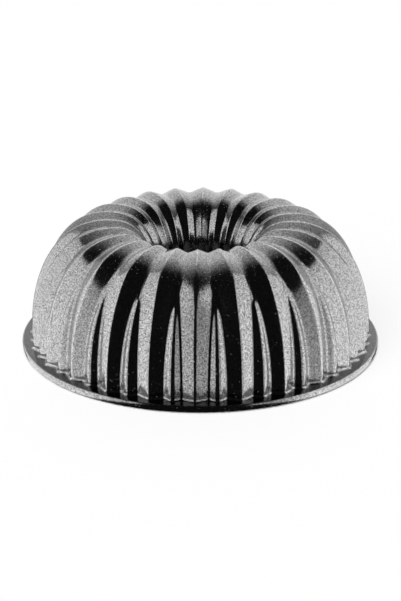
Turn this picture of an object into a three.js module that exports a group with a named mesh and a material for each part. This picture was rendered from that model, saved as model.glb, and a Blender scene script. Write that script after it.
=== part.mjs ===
// Fluted ring cake mould, lying mouth down on its flat rim as it is stored and turned out.
// Millimetres, +Z up. The origin is the centre of the rim's rest face, one lobe points to -Y.
import * as THREE from "three";
import { ParametricGeometry } from "three/addons/geometries/ParametricGeometry.js";

// Rim flange; its ledge is what stands out beyond the lobes of the wall
const RIM_RADIUS = 130;
const FLANGE_LEDGE = 6.5;
const FLANGE_THICKNESS = 5.5;
const FLANGE_EDGE_ROUND = 1.2;

// Casting: wall and the clearance where two of its sections meet
const WALL_THICKNESS = 3;
const SEAM_CLEARANCE = 0.3;

// Crest line of the lobes, seen in section: up the wall, over the crown, down the tube
const CROWN_HEIGHT = 92.5;
const CROWN_RADIUS = 66;
const TUBE_END_RADIUS = 28;
const TUBE_END_HEIGHT = 8;
const WALL_FULLNESS = 2.22;
const TUBE_FULLNESS = 2.7;
const CROWN_SEAM_DROP = 14.5;

// Lobes: the depth of a valley is a steepness times half the lobe's width
const LOBES = 24;
const LOBE_STEEPNESS_BASE = 0.51;
const LOBE_STEEPNESS_CROWN = 0.41;
const LOBE_STEEPNESS_TUBE = 0.4;
const LOBE_CREST_ROUNDING = 0.3;
const VALLEY_FLOOR_HALF_WIDTH = 0.5;

// Pointed ribs that rise in the valleys of the wall
const RIB_TIP_DROP = 15.5;
const RIB_BASE_HALF_WIDTH = 6.55;
const RIB_BASE_RISE = 3.8;
const RIB_POINT_POWER = 0.6;

// Rows of facets along each surface of a section
const WALL_ROWS = { outside: 9, inside: 7 };
const CROWN_ROWS = { outside: 9, inside: 8 };
const TUBE_ROWS = { outside: 6, inside: 5 };

const WALL_CREST_RADIUS = RIM_RADIUS - FLANGE_LEDGE;
const WALL_FOOT_HEIGHT = FLANGE_THICKNESS + SEAM_CLEARANCE;
const CROWN_SEAM_HEIGHT = CROWN_HEIGHT - CROWN_SEAM_DROP;
const RIB_TIP_HEIGHT = CROWN_HEIGHT - RIB_TIP_DROP;
const HALF_PITCH = Math.PI / LOBES;
const QUARTER_TURN = Math.PI / 2;

// The wall and the tube are quarter superellipses that share the crown's highest line.
const WALL_CURVE = {
  footRadius: WALL_CREST_RADIUS,
  footHeight: WALL_FOOT_HEIGHT,
  fullness: WALL_FULLNESS,
  footSteepness: LOBE_STEEPNESS_BASE,
  hasRibs: true,
};
const TUBE_CURVE = {
  footRadius: TUBE_END_RADIUS,
  footHeight: TUBE_END_HEIGHT,
  fullness: TUBE_FULLNESS,
  footSteepness: LOBE_STEEPNESS_TUBE,
  hasRibs: false,
};

// Point of the crest line and its outward normal; climb runs from 0 at the foot to 1 at the crown.
function crestPoint(curve, climb) {
  const angle = climb * QUARTER_TURN;
  const across = Math.max(Math.cos(angle), 0);
  const up = Math.sin(angle);
  const width = curve.footRadius - CROWN_RADIUS;
  const height = CROWN_HEIGHT - curve.footHeight;
  const power = 2 / curve.fullness;
  const normal = new THREE.Vector2(across ** (2 - power) / width, up ** (2 - power) / height);
  return {
    radius: CROWN_RADIUS + width * across ** power,
    height: curve.footHeight + height * up ** power,
    normal: normal.normalize(),
  };
}

// Climb at which the crest line reaches a height
function climbAt(curve, height) {
  const share = (height - curve.footHeight) / (CROWN_HEIGHT - curve.footHeight);
  return Math.asin(share ** (curve.fullness / 2)) / QUARTER_TURN;
}

// Flutes at one place along the crest line: half angles of lobe and rib, depth of the valleys
function flutesAt(curve, climb) {
  const crest = crestPoint(curve, climb);
  const floorAngle = VALLEY_FLOOR_HALF_WIDTH / crest.radius;
  const rise = (crest.height - curve.footHeight) / (CROWN_HEIGHT - curve.footHeight);
  const ribClimb = (crest.height - curve.footHeight) / (RIB_TIP_HEIGHT - curve.footHeight);
  const ribShare = curve.hasRibs && ribClimb < 1 ? (1 - ribClimb ** 2) ** RIB_POINT_POWER : 0;
  const ribAngle = Math.max((RIB_BASE_HALF_WIDTH / curve.footRadius) * ribShare, floorAngle);
  const lobeAngle = HALF_PITCH - ribAngle;
  const steepness = THREE.MathUtils.lerp(curve.footSteepness, LOBE_STEEPNESS_CROWN, rise);
  return {
    crest,
    lobeAngle,
    valleyDepth: steepness * lobeAngle * crest.radius,
    ribRise: RIB_BASE_RISE * ribShare,
  };
}

// A lobe is drawn by its crest, the two edges of the crest's rounding, and its two valleys;
// the rib's crest, or the middle of the valley floor, stands between it and the next lobe.
const SHOULDER_DROP = LOBE_CREST_ROUNDING / (2 - LOBE_CREST_ROUNDING);
const LOBE_STATIONS = [
  () => ({ turn: 0, depth: 0 }),
  (flutes) => ({ turn: LOBE_CREST_ROUNDING * flutes.lobeAngle, depth: SHOULDER_DROP * flutes.valleyDepth }),
  (flutes) => ({ turn: flutes.lobeAngle, depth: flutes.valleyDepth }),
  (flutes) => ({ turn: HALF_PITCH, depth: flutes.valleyDepth - flutes.ribRise }),
  (flutes) => ({ turn: 2 * HALF_PITCH - flutes.lobeAngle, depth: flutes.valleyDepth }),
  (flutes) => ({
    turn: 2 * HALF_PITCH - LOBE_CREST_ROUNDING * flutes.lobeAngle,
    depth: SHOULDER_DROP * flutes.valleyDepth,
  }),
];
const STATIONS_AROUND = LOBES * LOBE_STATIONS.length;

// Radius, height and angle of one station on the fluted surface, sunk below it by the wall for the inside
function flutedPoint(curve, climb, station, sunk) {
  const flutes = flutesAt(curve, climb);
  const place = LOBE_STATIONS[station % LOBE_STATIONS.length](flutes);
  const lobe = Math.floor(station / LOBE_STATIONS.length);
  const inset = place.depth + sunk;
  return {
    angle: lobe * 2 * HALF_PITCH + place.turn,
    radius: flutes.crest.radius - inset * flutes.crest.normal.x,
    height: flutes.crest.height - inset * flutes.crest.normal.y,
  };
}

// Closed ring: every station around the axis has the same closed loop of section points
function ringGeometry(loop) {
  const place = (u, v, target) => {
    const station = Math.round(u * STATIONS_AROUND) % STATIONS_AROUND;
    const point = loop[Math.round(v * loop.length) % loop.length](station);
    target.set(point.radius * Math.sin(point.angle), -point.radius * Math.cos(point.angle), point.height);
  };
  return new ParametricGeometry(place, STATIONS_AROUND, loop.length);
}

// Evenly spaced places along a path of the crest line, first and last included
function spread(path, rows) {
  return Array.from({ length: rows }, (unused, row) => path(row / (rows - 1)));
}

// Section of the casting along a path: its outside rows, then back along its inside rows
function castingLoop(path, rows) {
  const outside = spread(path, rows.outside).map(
    ({ curve, climb }) => (station) => flutedPoint(curve, climb, station, 0),
  );
  const inside = spread(path, rows.inside).map(
    ({ curve, climb }) => (station) => flutedPoint(curve, climb, station, WALL_THICKNESS),
  );
  return [...outside, ...inside.reverse()];
}

const WALL_SEAM = climbAt(WALL_CURVE, CROWN_SEAM_HEIGHT);
const WALL_TOP = climbAt(WALL_CURVE, CROWN_SEAM_HEIGHT - SEAM_CLEARANCE);
const TUBE_SEAM = climbAt(TUBE_CURVE, CROWN_SEAM_HEIGHT);
const TUBE_TOP = climbAt(TUBE_CURVE, CROWN_SEAM_HEIGHT - SEAM_CLEARANCE);

const wallPath = (share) => ({ curve: WALL_CURVE, climb: WALL_TOP * share });
const tubePath = (share) => ({ curve: TUBE_CURVE, climb: TUBE_TOP * (1 - share) });
const crownPath = (share) =>
  share < 0.5
    ? { curve: WALL_CURVE, climb: THREE.MathUtils.lerp(WALL_SEAM, 1, 2 * share) }
    : { curve: TUBE_CURVE, climb: THREE.MathUtils.lerp(1, TUBE_SEAM, 2 * share - 1) };

// Flat rim round the mouth; its inner edge follows the flutes of the wall that stands on it
function flangeLoop() {
  const mouth = (height) => (station) => {
    const edge = flutedPoint(WALL_CURVE, 0, station, WALL_THICKNESS);
    return { angle: edge.angle, radius: edge.radius, height };
  };
  const rim = (radius, height) => (station) => {
    const edge = flutedPoint(WALL_CURVE, 0, station, 0);
    return { angle: edge.angle, radius, height };
  };
  return [
    mouth(0),
    rim(RIM_RADIUS - FLANGE_EDGE_ROUND, 0),
    rim(RIM_RADIUS, FLANGE_EDGE_ROUND),
    rim(RIM_RADIUS, FLANGE_THICKNESS - FLANGE_EDGE_ROUND),
    rim(RIM_RADIUS - FLANGE_EDGE_ROUND, FLANGE_THICKNESS),
    mouth(FLANGE_THICKNESS),
  ];
}

// Cast aluminium under a glossy speckled grey coat
const COATED_CASTING = { color: 0x6e6e6e, roughness: 0.25, metalness: 0.85 };

const mould = new THREE.Group();
function addSection(name, loop) {
  const mesh = new THREE.Mesh(ringGeometry(loop), new THREE.MeshStandardMaterial(COATED_CASTING));
  mesh.name = name;
  mould.add(mesh);
}

addSection("rim_flange", flangeLoop());
addSection("fluted_wall", castingLoop(wallPath, WALL_ROWS));
addSection("fluted_crown", castingLoop(crownPath, CROWN_ROWS));
addSection("centre_tube", castingLoop(tubePath, TUBE_ROWS));

export default mould;
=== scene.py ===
"""Fluted ring cake mould in a glossy speckled coat, lying mouth down on its rim.

Metres, +Z up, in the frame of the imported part: the origin is the centre of the rim's rest face
and one lobe points to -Y, towards the camera.
"""
import math

import bpy
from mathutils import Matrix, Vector


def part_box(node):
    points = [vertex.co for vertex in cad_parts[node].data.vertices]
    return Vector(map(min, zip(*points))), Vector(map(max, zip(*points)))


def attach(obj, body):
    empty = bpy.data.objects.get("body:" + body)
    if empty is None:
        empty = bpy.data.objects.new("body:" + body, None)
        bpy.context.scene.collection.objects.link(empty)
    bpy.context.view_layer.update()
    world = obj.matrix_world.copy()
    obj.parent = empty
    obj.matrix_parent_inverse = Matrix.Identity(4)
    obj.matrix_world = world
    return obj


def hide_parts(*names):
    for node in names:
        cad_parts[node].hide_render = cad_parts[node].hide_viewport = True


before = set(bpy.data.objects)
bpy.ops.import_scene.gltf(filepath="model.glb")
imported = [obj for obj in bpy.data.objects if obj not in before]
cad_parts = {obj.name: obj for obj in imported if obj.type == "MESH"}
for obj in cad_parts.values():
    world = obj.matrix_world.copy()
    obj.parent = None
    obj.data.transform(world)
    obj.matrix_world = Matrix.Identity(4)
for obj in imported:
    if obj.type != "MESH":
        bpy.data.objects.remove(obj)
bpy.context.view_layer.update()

MM = 0.001

# Sizes taken from the solids; the crown is lifted a little to meet the photograph's outline
CROWN_LIFT = 0.6 * MM
RIM_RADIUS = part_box("rim_flange")[1].x
FLANGE_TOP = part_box("rim_flange")[1].z
WALL_FOOT_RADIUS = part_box("fluted_wall")[1].x
CROWN_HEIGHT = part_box("fluted_crown")[1].z + CROWN_LIFT
TUBE_END_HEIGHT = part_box("centre_tube")[0].z

# Crest line of the lobes in section: up the wall, over the crown, down the tube
CROWN_RADIUS = 66 * MM
TUBE_END_RADIUS = 28 * MM
WALL_FULLNESS = 2.22
TUBE_FULLNESS = 2.55
CROWN_SEAM_DROP = 14.5 * MM
SEAM_HEIGHT = CROWN_HEIGHT - CROWN_SEAM_DROP
WALL_THICKNESS = 3 * MM

# Flutes: steepness is a valley's depth over half a lobe's width, roundings are shares of that half width
LOBES = 24
STEEPNESS_FOOT = 0.46
STEEPNESS_CROWN = 0.37
STEEPNESS_TUBE = 0.37
CREST_ROUNDING = 0.1
VALLEY_HALF_WIDTH = 0.5 * MM
VALLEY_FILLET = 0.2 * MM
VALLEY_ROUNDING = 0.14
LEAST_ROUNDING = 0.01
RIB_TIP_DROP = 15.5 * MM
RIB_TIP_HEIGHT = CROWN_HEIGHT - RIB_TIP_DROP
RIB_HALF_WIDTH = 6.4 * MM
RIB_RISE = 3.8 * MM
RIB_START_SHARE = 0.3
RIB_POINT_POWER = 0.6
RIB_ROUNDING = 0.46
RIB_FILLET = 3.0 * MM

# Rounded edges
RIM_EDGE_ROUND = 1.2 * MM
RIM_EDGE_STEPS = 5
RIM_EDGE_DRAFT = 0.4 * MM
FOOT_FILLET = 1.6 * MM
TUBE_END_ROUND = 1.5 * MM

# Fineness of the meshes
STATIONS_PER_LOBE = 40
LOBE_STATION_SHARE = 0.65
WALL_ROWS = {"Outside Rows": 56, "Inside Rows": 30}
CROWN_ROWS = {"Outside Rows": 44, "Inside Rows": 28}
TUBE_ROWS = {"Outside Rows": 40, "Inside Rows": 24}
CAP_ROWS = 4
WELD_DISTANCE = 0.002 * MM
CREASE_ANGLE = math.radians(50)

# Coat: grey with a speckled grain, faint clouds, and flakes of which a few lean far
COAT_GREY = 0.43
COAT_GRAIN = 0.42 * MM
GRAIN_CONTRAST = 1.5
CLOUDS_PER_METRE = 60.0
CLOUD_DETAIL = 3.0
CLOUD_CONTRAST = 0.06
FLAKE_SIZE = 0.35 * MM
FLAKE_LEAN = 0.04
STRAY_FLAKE_LEAN = 0.6
STRAY_FLAKE_START = 0.982
COAT_ROUGHNESS = 0.13
ROUGHNESS_CONTRAST = 0.3

# Painted light in the coat's colour: painted highlight on the crests, painted shade in the valleys, on
# the flange top and at the lower end of the tube
# Painted highlight: the coat is made lighter along each crest
CREST_HIGHLIGHT = 0.3
CREST_HIGHLIGHT_WIDTH = 0.09
VALLEY_SHADE = 0.1
VALLEY_SHADE_START = 0.94
TUBE_SHADE = 0.8
TUBE_SHADE_TOP = 69 * MM
TUBE_SHADE_FULL = 61 * MM
# Painted shade: the coat on the flange top is darkened
FLANGE_TOP_SHADE_SHARE = 0.28

# Studio: floor and room, with the angles in degrees between which the rear wall fades out
FLOOR_HALF_WIDTH = 6
FLOOR_WHITE = 0.7
PAPER = 0.9
ROOM_LEVEL = 0.008
REAR_LEVEL = 0.94
REAR_SPREAD = 0.1
LEAST_REACH = 0.0001
REAR_FALLOFF = 3
REAR_TOP_FADE = (84, 36)
REAR_FOOT_FADE = (-22, -8)

# Cards at both sides: places in metres, and levels at the rear, at the front edge and with height
CARD_DISTANCE = 0.19
CARD_LEAN = 0.11
CARD_FOOT = -0.085
CARD_TOP = 0.4
LEFT_CARD_FRONT = -0.335
RIGHT_CARD_FRONT = -0.375
CARD_REAR = 0.08
CARD_FADE = (-0.23, -0.1)
CARD_REAR_GLOW = 1.06
CARD_FRONT_GLOW = 0.56
CARD_FRONT_GLOW_TO_RIGHT = -0.5
CARD_FLOOR_GLOW = 1.15
CARD_GLOW_LOSS_UPWARDS = 1.2

# Soft high light for the floor's shadow
HIGH_LIGHT = 3.9
HIGH_LIGHT_SPREAD = math.radians(70)
HIGH_LIGHT_TILT = math.radians(40)
HIGH_LIGHT_TURN = math.radians(-20)

# Photograph's viewpoint
CAMERA_DISTANCE = 1.599
CAMERA_ELEVATION = math.radians(22.67)
CAMERA_AZIMUTH = math.radians(1.66)
CAMERA_AIM_HEIGHT = 31.4 * MM
CAMERA_AIM_SIDE = 0.2 * MM
CAMERA_LENS = 130.35


class Wire:
    """An output socket of a node sheet; arithmetic on it adds Math nodes to the sheet."""

    def __init__(self, sheet, socket):
        self.sheet = sheet
        self.socket = socket

    def other(self, output):
        """Another output of the same node"""
        return Wire(self.sheet, self.socket.node.outputs[output])

    def math(self, operation, *values):
        return self.sheet.math(operation, self, *values)

    def __add__(self, value):
        return self.math("ADD", value)

    def __radd__(self, value):
        return self.math("ADD", value)

    def __sub__(self, value):
        return self.math("SUBTRACT", value)

    def __rsub__(self, value):
        return self.sheet.math("SUBTRACT", value, self)

    def __mul__(self, value):
        return self.math("MULTIPLY", value)

    def __rmul__(self, value):
        return self.math("MULTIPLY", value)

    def __truediv__(self, value):
        return self.math("DIVIDE", value)

    def __rtruediv__(self, value):
        return self.sheet.math("DIVIDE", value, self)

    def __pow__(self, value):
        return self.math("POWER", value)

    def __lt__(self, value):
        return self.math("LESS_THAN", value)

    def __gt__(self, value):
        return self.math("GREATER_THAN", value)

    def __abs__(self):
        return self.math("ABSOLUTE")

    def __neg__(self):
        return self.math("MULTIPLY", -1)


class Sheet:
    """A node tree that is filled from Python expressions."""

    def __init__(self, tree):
        self.tree = tree
        tree.nodes.clear()

    def add(self, kind, settings=None, sockets=None, output=0):
        """One node: its type, its settings, the values or links of its sockets, and the output wanted"""
        node = self.tree.nodes.new(kind)
        for name, value in (settings or {}).items():
            setattr(node, name, value)
        for key, value in (sockets or {}).items():
            if isinstance(value, Wire):
                self.tree.links.new(value.socket, node.inputs[key])
            else:
                node.inputs[key].default_value = value
        return Wire(self, node.outputs[output]) if node.outputs else None

    def math(self, operation, *values):
        return self.add("ShaderNodeMath", {"operation": operation}, dict(enumerate(values)))

    def clip(self, value):
        """Value held between 0 and 1"""
        return self.add("ShaderNodeClamp", None, {"Value": value})

    def ramp(self, value, start, end):
        """Smooth step of a value from 0 at the start to 1 at the end"""
        sockets = {"Value": value, "From Min": start, "From Max": end}
        return self.add("ShaderNodeMapRange", {"interpolation_type": "SMOOTHSTEP"}, sockets)

    def mix(self, share, first, second):
        """Blend of two plain numbers"""
        return first + (second - first) * share

    def ease(self, share):
        """Share from 0 to 1 that starts and ends slowly, so that rows lie close at both ends"""
        return 0.5 - 0.5 * (share * math.pi).math("COSINE")


def start_tree(name, sizes):
    """Geometry Nodes tree with one named input for each size: its sheet, and the inputs as wires"""
    tree = bpy.data.node_groups.new(name, "GeometryNodeTree")
    tree.interface.new_socket("Mesh", in_out="OUTPUT", socket_type="NodeSocketGeometry")
    for label in sizes:
        tree.interface.new_socket(label, in_out="INPUT", socket_type="NodeSocketFloat")
    sheet = Sheet(tree)
    entry = sheet.add("NodeGroupInput")
    return sheet, {label: entry.other(label) for label in sizes}


def close_tree(sheet, mesh, material):
    """Weld the seams, shade smooth up to sharp edges, set the material and hand the mesh out"""
    weld = {"Geometry": mesh, "Distance": WELD_DISTANCE}
    welded = sheet.add("GeometryNodeMergeByDistance", None, weld)
    fold = sheet.add("GeometryNodeInputMeshEdgeAngle")
    smooth = sheet.add("GeometryNodeSetShadeSmooth", {"domain": "FACE"}, {0: welded, 2: True})
    edges = {0: smooth, 1: fold > CREASE_ANGLE, 2: False}
    creased = sheet.add("GeometryNodeSetShadeSmooth", {"domain": "EDGE"}, edges)
    whole = sheet.add("GeometryNodeRealizeInstances", None, {"Geometry": creased})
    coated = sheet.add("GeometryNodeSetMaterial", None, {"Geometry": whole, "Material": material})
    sheet.add("NodeGroupOutput", None, {"Mesh": coated})


def grow(name, tree, sizes):
    """Plain mesh object made by a tree with the given sizes"""
    piece = bpy.data.objects.new(name, bpy.data.meshes.new(name))
    bpy.context.scene.collection.objects.link(piece)
    shape = piece.modifiers.new("shape", "NODES")
    shape.node_group = tree
    for item in tree.interface.items_tree:
        if item.in_out == "INPUT":
            shape[item.identifier] = float(sizes[item.name])
    graph = bpy.context.evaluated_depsgraph_get()
    mesh = bpy.data.meshes.new_from_object(piece.evaluated_get(graph))
    piece.modifiers.clear()
    piece.data = mesh
    mesh.name = name
    return piece


def flute(sheet, around, lobe_angle, rib_angle, valley_depth, rib_rise, fillet, hollow):
    """Turn about the axis, depth below the crest, and the coat's painted highlight and painted shade at
    a place around the section
    """
    half_pitch = math.pi / LOBES
    pitches = around * LOBES
    step = pitches.math("FRACT")
    off_crest = 1 - abs(2 * step - 1)
    over_lobe = sheet.ease(sheet.clip(off_crest / LOBE_STATION_SHARE))
    over_rib = sheet.ease(sheet.clip((off_crest - LOBE_STATION_SHARE) / (1 - LOBE_STATION_SHARE)))
    angle = lobe_angle * over_lobe + rib_angle * over_rib
    side = (0.5 - step).math("SIGN")
    turn = pitches.math("FLOOR") * (2 * half_pitch) + half_pitch - (half_pitch - angle) * side

    def roof(share, rounding):
        rounded = share.math("MINIMUM", rounding)
        return (rounded * rounded / (2 * rounding) + share - rounded) / (1 - rounding / 2)

    lobe_share = angle / lobe_angle
    hollowed = (lobe_share - 1 + hollow).math("MAXIMUM", 0).math("MINIMUM", hollow)
    flattened = hollowed * hollowed / (2 * hollow) / (1 - CREST_ROUNDING / 2)
    floor_depth = valley_depth * (1 - hollow / (2 - CREST_ROUNDING))
    lobe_depth = valley_depth * (roof(lobe_share, CREST_ROUNDING) - flattened)
    rib_depth = floor_depth - rib_rise * (1 - roof((half_pitch - angle) / rib_angle, RIB_ROUNDING))
    depth = sheet.math("SMOOTH_MIN", lobe_depth, rib_depth, fillet)
    # Painted highlight: the coat's grey is raised along each crest
    highlighted = CREST_HIGHLIGHT * (1 - sheet.ramp(lobe_share, 0, CREST_HIGHLIGHT_WIDTH))
    depth_share = lobe_depth.math("MINIMUM", rib_depth) / floor_depth
    shaded = VALLEY_SHADE * sheet.ramp(depth_share, VALLEY_SHADE_START, 1)
    return turn, depth, 1 + highlighted - shaded


def place_round(sheet, mesh, turn, radius, height, painted_light_share):
    """Mesh with its points put at a turn, radius and height about the axis, and the coat's painted
    highlight and painted shade noted
    """
    spot = {"X": radius * turn.math("SINE"), "Y": -(radius * turn.math("COSINE")), "Z": height}
    position = sheet.add("ShaderNodeCombineXYZ", None, spot)
    note = {"Geometry": mesh, "Name": "painted_light_share", "Value": painted_light_share}
    noted = sheet.add("GeometryNodeStoreNamedAttribute", {"data_type": "FLOAT", "domain": "POINT"}, note)
    return sheet.add("GeometryNodeSetPosition", None, {"Geometry": noted, "Position": position})


def section_grid(sheet, loop_steps):
    """Flat grid to be rolled up: the mesh, and its shares around the axis and along the loop"""
    counts = {"Vertices X": LOBES * STATIONS_PER_LOBE + 1, "Vertices Y": loop_steps + 1}
    mesh = sheet.add("GeometryNodeMeshGrid", None, {"Size X": 1.0, "Size Y": 1.0, **counts})
    split = sheet.add("ShaderNodeSeparateXYZ", None, {"Vector": sheet.add("GeometryNodeInputPosition")})
    return mesh, split + 0.5, split.other("Y") + 0.5


def casting_tree(sizes, material):
    """Fluted casting along a path of the crest line: 0 wall's foot, 1 crown's top, 2 tube's end"""
    sheet, size = start_tree("fluted_casting", sizes)
    outside, cap, inside = size["Outside Rows"], size["Cap Rows"], size["Inside Rows"]
    loop_steps = outside + inside + 2 * cap
    mesh, around, loop = section_grid(sheet, loop_steps)
    row = loop * loop_steps
    up = sheet.ease(sheet.clip(row / outside))
    over = sheet.ease(sheet.clip((row - outside) / cap))
    down = sheet.ease(sheet.clip((row - outside - cap) / inside))
    back = sheet.ease(sheet.clip((row - outside - cap - inside) / cap))
    path = sheet.mix(up - down, size["Path Start"], size["Path End"])

    # Crest line at the path's place: radius, height and outward normal
    on_wall = path < 1
    foot_radius = sheet.mix(on_wall, size["Tube End Radius"], size["Wall Foot Radius"])
    foot_height = sheet.mix(on_wall, size["Tube End Height"], size["Wall Foot Height"])
    power = 2 / sheet.mix(on_wall, TUBE_FULLNESS, WALL_FULLNESS)
    climb = (1 - abs(path - 1)) * (math.pi / 2)
    across = climb.math("COSINE").math("MAXIMUM", 0)
    rising = climb.math("SINE").math("MAXIMUM", 0)
    width = foot_radius - size["Crown Radius"]
    height = size["Crown Height"] - foot_height
    normal_out = across ** (2 - power) / width
    normal_up = rising ** (2 - power) / height
    length = (normal_out * normal_out + normal_up * normal_up).math("SQRT")
    rise = rising ** power
    crest_radius = size["Crown Radius"] + width * across ** power
    crest_height = foot_height + height * rise

    # Lobes and ribs there
    rib_climb = sheet.clip((crest_height - foot_height) / (size["Rib Tip Height"] - foot_height))
    rib_share = on_wall * (1 - rib_climb * rib_climb) ** RIB_POINT_POWER
    rib_angle = size["Rib Half Width"] / foot_radius * rib_share
    rib_angle = rib_angle.math("MAXIMUM", VALLEY_HALF_WIDTH / crest_radius)
    lobe_angle = math.pi / LOBES - rib_angle
    steepness_foot = sheet.mix(on_wall, STEEPNESS_TUBE, STEEPNESS_FOOT)
    steepness = sheet.mix(rise, steepness_foot, STEEPNESS_CROWN)
    valley_depth = steepness * lobe_angle * crest_radius
    fillet = sheet.mix(rib_share, VALLEY_FILLET, RIB_FILLET)
    standing = sheet.clip((rib_share - RIB_START_SHARE) / (1 - RIB_START_SHARE))
    rib_rise = size["Rib Rise"] * standing
    hollow = LEAST_ROUNDING + VALLEY_ROUNDING * on_wall * (1 - rib_share)
    shape = (lobe_angle, rib_angle, valley_depth, rib_rise, fillet, hollow)
    turn, depth, share = flute(sheet, around, *shape)
    shade = TUBE_SHADE * sheet.ramp(crest_height, TUBE_SHADE_TOP, TUBE_SHADE_FULL)
    share = share * (1 - shade * (1 - on_wall))

    # Fillet on the flange, the wall's thickness and the rounded free end
    low = (1 - (crest_height - foot_height) / size["Foot Fillet"]).math("MAXIMUM", 0) * on_wall
    flare = size["Foot Fillet"] * (1 - (1 - low * low).math("SQRT")) * (1 - over + back)
    sunk = depth - flare + size["Wall Thickness"] * (over - back)
    end_round = size["End Round"] * ((over - over * over) * 4).math("SQRT") * (1 - back)
    radius = crest_radius - sunk * normal_out / length
    lifted = crest_height - sunk * normal_up / length - end_round
    close_tree(sheet, place_round(sheet, mesh, turn, radius, lifted, share), material)
    return sheet.tree


def rim_tree(sizes, material):
    """Flat flange round the mouth; its inner edge follows the flutes inside the wall's foot"""
    sheet, size = start_tree("rim_flange_ring", sizes)
    loop_steps = 2 * RIM_EDGE_STEPS + 4
    mesh, around, loop = section_grid(sheet, loop_steps)
    row = (loop * loop_steps + 0.5).math("FLOOR").math("MODULO", loop_steps)
    at_rim = abs(row - (loop_steps - 1) / 2) < loop_steps / 2 - 1
    low_bend = sheet.clip((row - 1) / RIM_EDGE_STEPS)
    high_bend = sheet.clip((row - 2 - RIM_EDGE_STEPS) / RIM_EDGE_STEPS)
    bend = (low_bend + high_bend - 1) * (math.pi / 2)
    at_top = sheet.clip(row - 1 - RIM_EDGE_STEPS)
    edge = size["Edge Round"]
    draft = RIM_EDGE_DRAFT * (1 - at_top)
    rim_radius = size["Rim Radius"] - edge * (1 - bend.math("COSINE")) - draft
    height = edge * (1 + bend.math("SINE")) + (size["Thickness"] - 2 * edge) * at_top

    rib_angle = size["Rib Half Width"] / size["Wall Foot Radius"]
    lobe_angle = math.pi / LOBES - rib_angle
    valley_depth = STEEPNESS_FOOT * lobe_angle * size["Wall Foot Radius"]
    shape = (lobe_angle, rib_angle, valley_depth, size["Rib Rise"], RIB_FILLET, LEAST_ROUNDING)
    turn, depth, _ = flute(sheet, around, *shape)
    mouth = size["Wall Foot Radius"] - size["Wall Thickness"] - depth
    radius = sheet.mix(at_rim, mouth, rim_radius)
    # Painted shade: the coat on the flange top is darkened
    on_top = sheet.clip(high_bend * 3 - 2)
    share = sheet.mix(on_top, 1, FLANGE_TOP_SHADE_SHARE)
    close_tree(sheet, place_round(sheet, mesh, turn, radius, height, share), material)
    return sheet.tree


def speckled_coat():
    """Glossy dark grey coat on cast metal, with fine flakes that catch the light one by one"""
    material = bpy.data.materials.new("speckled_coat")
    material.use_nodes = True
    sheet = Sheet(material.node_tree)
    place = sheet.add("ShaderNodeTexCoord", None, None, "Object")
    cells = {"voronoi_dimensions": "3D"}
    grain = sheet.add("ShaderNodeTexVoronoi", cells, {"Vector": place, "Scale": 1 / COAT_GRAIN}, "Color")
    flake = sheet.add("ShaderNodeTexVoronoi", cells, {"Vector": place, "Scale": 1 / FLAKE_SIZE}, "Color")
    tone = sheet.add("ShaderNodeSeparateColor", None, {"Color": grain})
    chance = sheet.add("ShaderNodeSeparateColor", None, {"Color": flake}, "Blue")
    clouds = {"Vector": place, "Scale": CLOUDS_PER_METRE, "Detail": CLOUD_DETAIL}
    cloud = sheet.add("ShaderNodeTexNoise", None, clouds) - 0.5
    # Painted highlight and painted shade noted on the pieces scale the coat's grey
    share = sheet.add("ShaderNodeAttribute", {"attribute_name": "painted_light_share"}, None, "Fac")
    grey = COAT_GREY * share * (1 + GRAIN_CONTRAST * (tone - 0.5) + CLOUD_CONTRAST * cloud)
    color = sheet.add("ShaderNodeCombineColor", None, {"Red": grey, "Green": grey, "Blue": grey})
    roughness = COAT_ROUGHNESS * (1 + ROUGHNESS_CONTRAST * cloud)
    tilt = sheet.add("ShaderNodeVectorMath", {"operation": "SUBTRACT"}, {0: flake, 1: (0.5, 0.5, 0.5)})
    lean = FLAKE_LEAN + STRAY_FLAKE_LEAN * (chance > STRAY_FLAKE_START)
    jitter = sheet.add("ShaderNodeVectorMath", {"operation": "SCALE"}, {0: tilt, "Scale": lean})
    facing = sheet.add("ShaderNodeNewGeometry", None, None, "Normal")
    leant = sheet.add("ShaderNodeVectorMath", {"operation": "ADD"}, {0: facing, 1: jitter})
    normal = sheet.add("ShaderNodeVectorMath", {"operation": "NORMALIZE"}, {0: leant})
    look = {"Base Color": color, "Metallic": 1.0, "Roughness": roughness, "Normal": normal}
    surface = sheet.add("ShaderNodeBsdfPrincipled", None, look)
    sheet.add("ShaderNodeOutputMaterial", None, {"Surface": surface})
    return material


def flat_panel(name, corners, material):
    """Four-cornered panel of the studio"""
    mesh = bpy.data.meshes.new(name)
    mesh.from_pydata(corners, [], [range(len(corners))])
    mesh.materials.append(material)
    panel = bpy.data.objects.new(name, mesh)
    bpy.context.scene.collection.objects.link(panel)
    return panel


def floor_paper():
    """Pale floor; beyond the rim white to the camera, with part of the shadow, and clear in mirrors"""
    material = bpy.data.materials.new("floor_paper")
    material.use_nodes = True
    sheet = Sheet(material.node_tree)
    place = sheet.add("ShaderNodeTexCoord", None, None, "Object")
    out = sheet.add("ShaderNodeVectorMath", {"operation": "LENGTH"}, {0: place}, "Value")
    beyond = out > RIM_RADIUS
    ray = sheet.add("ShaderNodeLightPath", None, None, "Is Camera Ray")
    seen = sheet.clip(ray + ray.other("Is Transmission Ray"))
    lit = sheet.add("ShaderNodeBsdfDiffuse", None, {"Color": (PAPER, PAPER, PAPER, 1)})
    white = sheet.add("ShaderNodeEmission", None, {"Color": (1, 1, 1, 1), "Strength": 1.0})
    clear = sheet.add("ShaderNodeBsdfTransparent")
    whitened = FLOOR_WHITE * seen * beyond
    paper = sheet.add("ShaderNodeMixShader", None, {0: whitened, 1: lit, 2: white})
    mirrored = ray.other("Is Glossy Ray") * beyond
    surface = sheet.add("ShaderNodeMixShader", None, {0: mirrored, 1: paper, 2: clear})
    sheet.add("ShaderNodeOutputMaterial", None, {"Surface": surface})
    return material


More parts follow.
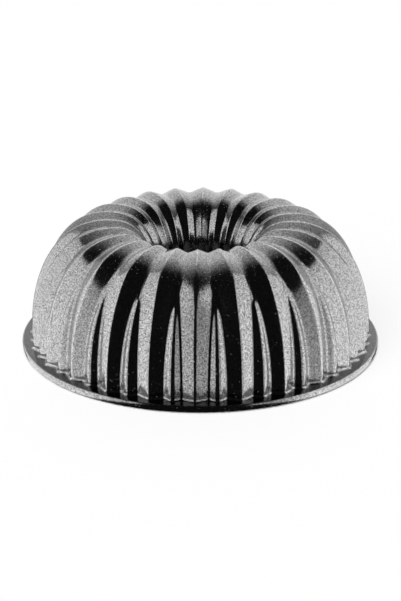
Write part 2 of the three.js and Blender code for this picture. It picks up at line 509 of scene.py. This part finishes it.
def white_card():
    """White light card, dimmer towards its front edge, more so on the right, and towards its top"""
    material = bpy.data.materials.new("white_card")
    material.use_nodes = True
    sheet = Sheet(material.node_tree)
    place = sheet.add("ShaderNodeTexCoord", None, None, "Object")
    spot = sheet.add("ShaderNodeSeparateXYZ", None, {"Vector": place})
    along = sheet.ramp(spot.other("Y") + abs(spot) - CARD_DISTANCE, *CARD_FADE)
    front_glow = CARD_FRONT_GLOW + CARD_FRONT_GLOW_TO_RIGHT * spot
    upright = CARD_FLOOR_GLOW - CARD_GLOW_LOSS_UPWARDS * spot.other("Z")
    level = sheet.mix(along, front_glow, CARD_REAR_GLOW) * upright
    color = sheet.add("ShaderNodeCombineColor", None, {"Red": level, "Green": level, "Blue": level})
    glow = sheet.add("ShaderNodeEmission", None, {"Color": color, "Strength": 1.0})
    sheet.add("ShaderNodeOutputMaterial", None, {"Surface": glow})
    return material


def light_studio():
    """Dim room with a light rear wall, white cards close on both sides, and a soft high light"""
    half = FLOOR_HALF_WIDTH
    corners = [(-half, -half, 0), (half, -half, 0), (half, half, 0), (-half, half, 0)]
    flat_panel("floor", corners, floor_paper())
    card = white_card()
    cards = {"left_card": (-1, LEFT_CARD_FRONT), "right_card": (1, RIGHT_CARD_FRONT)}
    for name, (side, front) in cards.items():
        foot_x = side * CARD_DISTANCE
        top_x = side * (CARD_DISTANCE + CARD_LEAN)
        low = [(foot_x, front, CARD_FOOT), (foot_x, CARD_REAR, CARD_FOOT)]
        high = [(top_x, CARD_REAR + CARD_LEAN / 2, CARD_TOP), (top_x, front - CARD_LEAN, CARD_TOP)]
        panel = flat_panel(name, low + high, card)
        panel.visible_camera = False
        panel.visible_diffuse = False
        panel.visible_shadow = False

    lamp = bpy.data.lights.new("high_light", "SUN")
    lamp.energy = HIGH_LIGHT
    lamp.angle = HIGH_LIGHT_SPREAD
    hung = bpy.data.objects.new("high_light", lamp)
    bpy.context.scene.collection.objects.link(hung)
    hung.rotation_euler = (HIGH_LIGHT_TILT, 0, HIGH_LIGHT_TURN)
    hung.visible_glossy = False

    world = bpy.data.worlds.new("studio_room")
    world.use_nodes = True
    bpy.context.scene.world = world
    sheet = Sheet(world.node_tree)
    ray = sheet.add("ShaderNodeTexCoord", None, None, "Generated")
    aside = sheet.add("ShaderNodeSeparateXYZ", None, {"Vector": ray})
    up = aside.other("Z")
    reach = (1 - up * up).math("MAXIMUM", LEAST_REACH).math("SQRT")
    rearward = aside.other("Y") / reach
    elevation = up.math("ARCSINE") * (180 / math.pi)
    wall = sheet.clip((rearward + REAR_SPREAD) / (1 + REAR_SPREAD)) ** REAR_FALLOFF
    wall = wall * sheet.ramp(elevation, *REAR_TOP_FADE) * sheet.ramp(elevation, *REAR_FOOT_FADE)
    room = ROOM_LEVEL + (REAR_LEVEL - ROOM_LEVEL) * wall
    camera = sheet.add("ShaderNodeLightPath", None, None, "Is Camera Ray")
    strength = sheet.mix(camera, room, 1.0)
    sky = sheet.add("ShaderNodeBackground", None, {"Color": (1, 1, 1, 1), "Strength": strength})
    sheet.add("ShaderNodeOutputWorld", None, {"Surface": sky})


def photo_camera():
    """Camera at the photograph's viewpoint"""
    data = bpy.data.cameras.new("photo_camera")
    data.lens = CAMERA_LENS
    camera = bpy.data.objects.new("photo_camera", data)
    bpy.context.scene.collection.objects.link(camera)
    level = CAMERA_DISTANCE * math.cos(CAMERA_ELEVATION)
    aim = Vector((CAMERA_AIM_SIDE, 0, CAMERA_AIM_HEIGHT))
    height = CAMERA_DISTANCE * math.sin(CAMERA_ELEVATION)
    camera.location = (level * math.sin(CAMERA_AZIMUTH), -level * math.cos(CAMERA_AZIMUTH), height)
    camera.rotation_euler = (aim - camera.location).to_track_quat("-Z", "Y").to_euler()
    bpy.context.scene.camera = camera


def path_at(height, foot_height, fullness):
    """Climb from the foot to the crown, 0 to 1, at which the crest line reaches a height"""
    share = (height - foot_height) / (CROWN_HEIGHT - foot_height)
    return math.asin(share ** (fullness / 2)) / (math.pi / 2)


coat = speckled_coat()
tube_foot = TUBE_END_HEIGHT + TUBE_END_ROUND
wall_seam = path_at(SEAM_HEIGHT, FLANGE_TOP, WALL_FULLNESS)
tube_seam = 2 - path_at(SEAM_HEIGHT, tube_foot, TUBE_FULLNESS)
casting_sizes = {
    "Wall Foot Radius": WALL_FOOT_RADIUS,
    "Wall Foot Height": FLANGE_TOP,
    "Tube End Radius": TUBE_END_RADIUS,
    "Tube End Height": tube_foot,
    "Crown Radius": CROWN_RADIUS,
    "Crown Height": CROWN_HEIGHT,
    "Wall Thickness": WALL_THICKNESS,
    "Rib Tip Height": RIB_TIP_HEIGHT,
    "Rib Half Width": RIB_HALF_WIDTH,
    "Rib Rise": RIB_RISE,
    "Foot Fillet": FOOT_FILLET,
    "End Round": 0,
    "Path Start": 0,
    "Path End": wall_seam,
    **WALL_ROWS,
    "Cap Rows": CAP_ROWS,
}
rim_sizes = {
    "Rim Radius": RIM_RADIUS,
    "Thickness": FLANGE_TOP,
    "Wall Foot Radius": WALL_FOOT_RADIUS,
    "Wall Thickness": WALL_THICKNESS,
    "Rib Half Width": RIB_HALF_WIDTH,
    "Rib Rise": RIB_RISE,
    "Edge Round": RIM_EDGE_ROUND,
}
casting = casting_tree(casting_sizes, coat)
rim = rim_tree(rim_sizes, coat)
crown_sizes = {"Path Start": wall_seam, "Path End": tube_seam, **CROWN_ROWS}
tube_sizes = {"Path Start": tube_seam, "Path End": 2, "End Round": TUBE_END_ROUND, **TUBE_ROWS}

pieces = {
    "rim_flange": grow("flange_ring", rim, rim_sizes),
    "fluted_wall": grow("wall_shell", casting, casting_sizes),
    "fluted_crown": grow("crown_shell", casting, casting_sizes | crown_sizes),
    "centre_tube": grow("tube_shell", casting, casting_sizes | tube_sizes),
}
for node, piece in pieces.items():
    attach(piece, "root")
    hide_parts(node)

light_studio()
photo_camera()
bpy.context.scene.view_settings.view_transform = "Standard"
